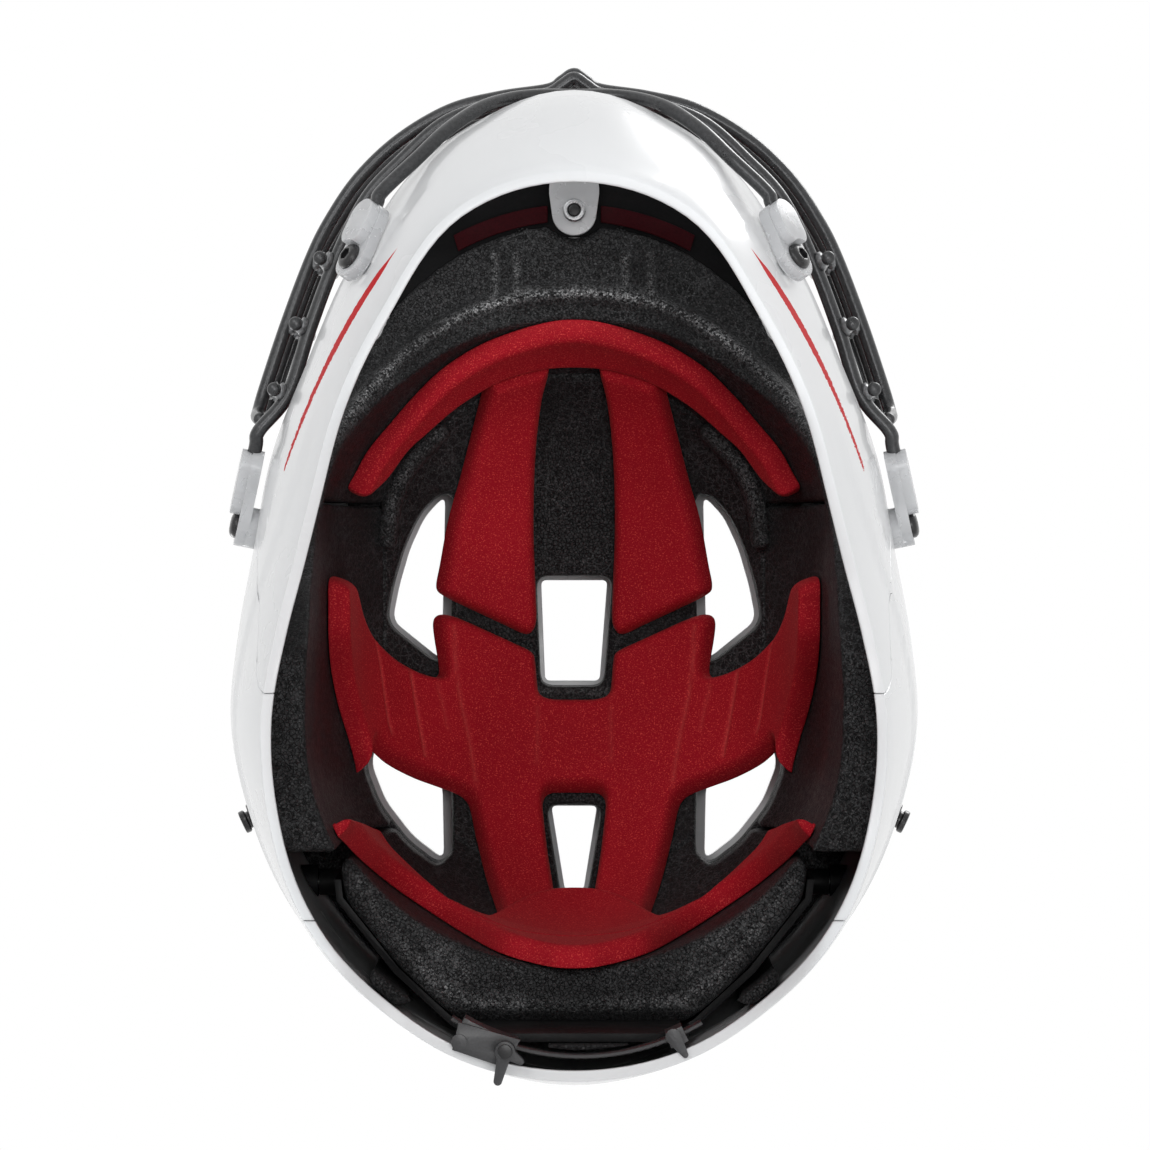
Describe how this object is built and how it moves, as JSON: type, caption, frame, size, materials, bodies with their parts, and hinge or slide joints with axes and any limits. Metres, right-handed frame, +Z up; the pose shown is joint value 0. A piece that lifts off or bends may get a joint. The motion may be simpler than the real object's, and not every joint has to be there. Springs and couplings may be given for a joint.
{
  "type": "field sport helmet",
  "caption": "Hard-shell helmet with a foam liner, comfort pads, a visor, a welded wire face guard on clips, a chin guard and a tilting nape block with a ladder strap adjuster.",
  "frame": {"origin": "centre of the helmet's box in plan, on the plane of the bottom rim", "axes": "+X towards the wearer's left, +Y towards the back of the head, +Z up; the face looks towards -Y"},
  "size_m": [0.2384, 0.3512, 0.2718],
  "materials": {
    "shell_white": "smooth moulded gloss with a painted red stripe",
    "visor_dark": "fine moulded grain",
    "trim_red": "satin",
    "foam_black": "beaded foam with a slight sheen",
    "pad_red": "fine brushed cloth over soft foam",
    "cage_wire": "dark coated steel wire, semi gloss",
    "clip_milky": "milky translucent moulding",
    "hardware_black": "black coated, satin",
    "hardware_steel": "plain steel",
    "carrier_black": "moulded, satin",
    "adjuster_grey": "moulded, satin"
  },
  "bodies": {
    "helmet": {"crown_shell": "shell_white", "rear_shell": "shell_white", "chin_guard": "shell_white", "visor": "visor_dark", "brow_trim": "trim_red", "brow_liner": "foam_black", "crown_liner": "foam_black", "rear_liner": "foam_black", "side_liner_left": "foam_black", "side_liner_right": "foam_black", "front_pad": "pad_red", "crown_pad_left": "pad_red", "crown_pad_right": "pad_red", "centre_pad": "pad_red", "side_pad_left": "pad_red", "side_pad_right": "pad_red", "lower_bar": "cage_wire", "main_bar": "cage_wire", "middle_bar": "cage_wire", "upper_bar": "cage_wire", "top_bar": "cage_wire", "side_rods_left": "cage_wire", "side_rods_right": "cage_wire", "brow_clip": "clip_milky", "chin_clip_left": "clip_milky", "chin_clip_right": "clip_milky", "side_clip_left": "clip_milky", "side_clip_right": "clip_milky", "clip_screws": "hardware_black", "clip_nuts": "hardware_black", "brow_screw": "hardware_black", "brow_nut": "hardware_steel", "snap_stud_left": "hardware_black", "snap_stud_right": "hardware_black", "stud_backs": "hardware_black", "nape_anchors": "carrier_black", "pivot_pins": "hardware_steel"},
    "nape": {"nape_foam": "foam_black", "nape_carrier": "carrier_black", "nape_pad": "pad_red", "nape_cushion": "foam_black", "latch_body": "adjuster_grey", "strap_keeper": "adjuster_grey", "lever_pin": "hardware_steel"},
    "strap": {"ladder_strap": "adjuster_grey"},
    "lever": {"latch_lever": "adjuster_grey"}
  },
  "joints": [
    {"name": "nape_tilt", "type": "hinge", "parent": "helmet", "child": "nape", "pos_m": [0, 0.108, 0.136], "axis": [1, 0, 0], "range_deg": [-4, 0]},
    {"name": "strap_draw", "type": "hinge", "parent": "nape", "child": "strap", "pos_m": [0.002, 0.0804, 0.02], "axis": [0, 0, 1], "range_deg": [-3, 0]},
    {"name": "latch_release", "type": "hinge", "parent": "nape", "child": "lever", "pos_m": [-0.0225, 0.1554, 0.009], "axis": [0, 0, 1], "range_deg": [0, 50]}
  ],
  "couplings": [
    {"joint": "strap_draw", "follows": "nape_tilt", "ratio": 0.75}
  ]
}
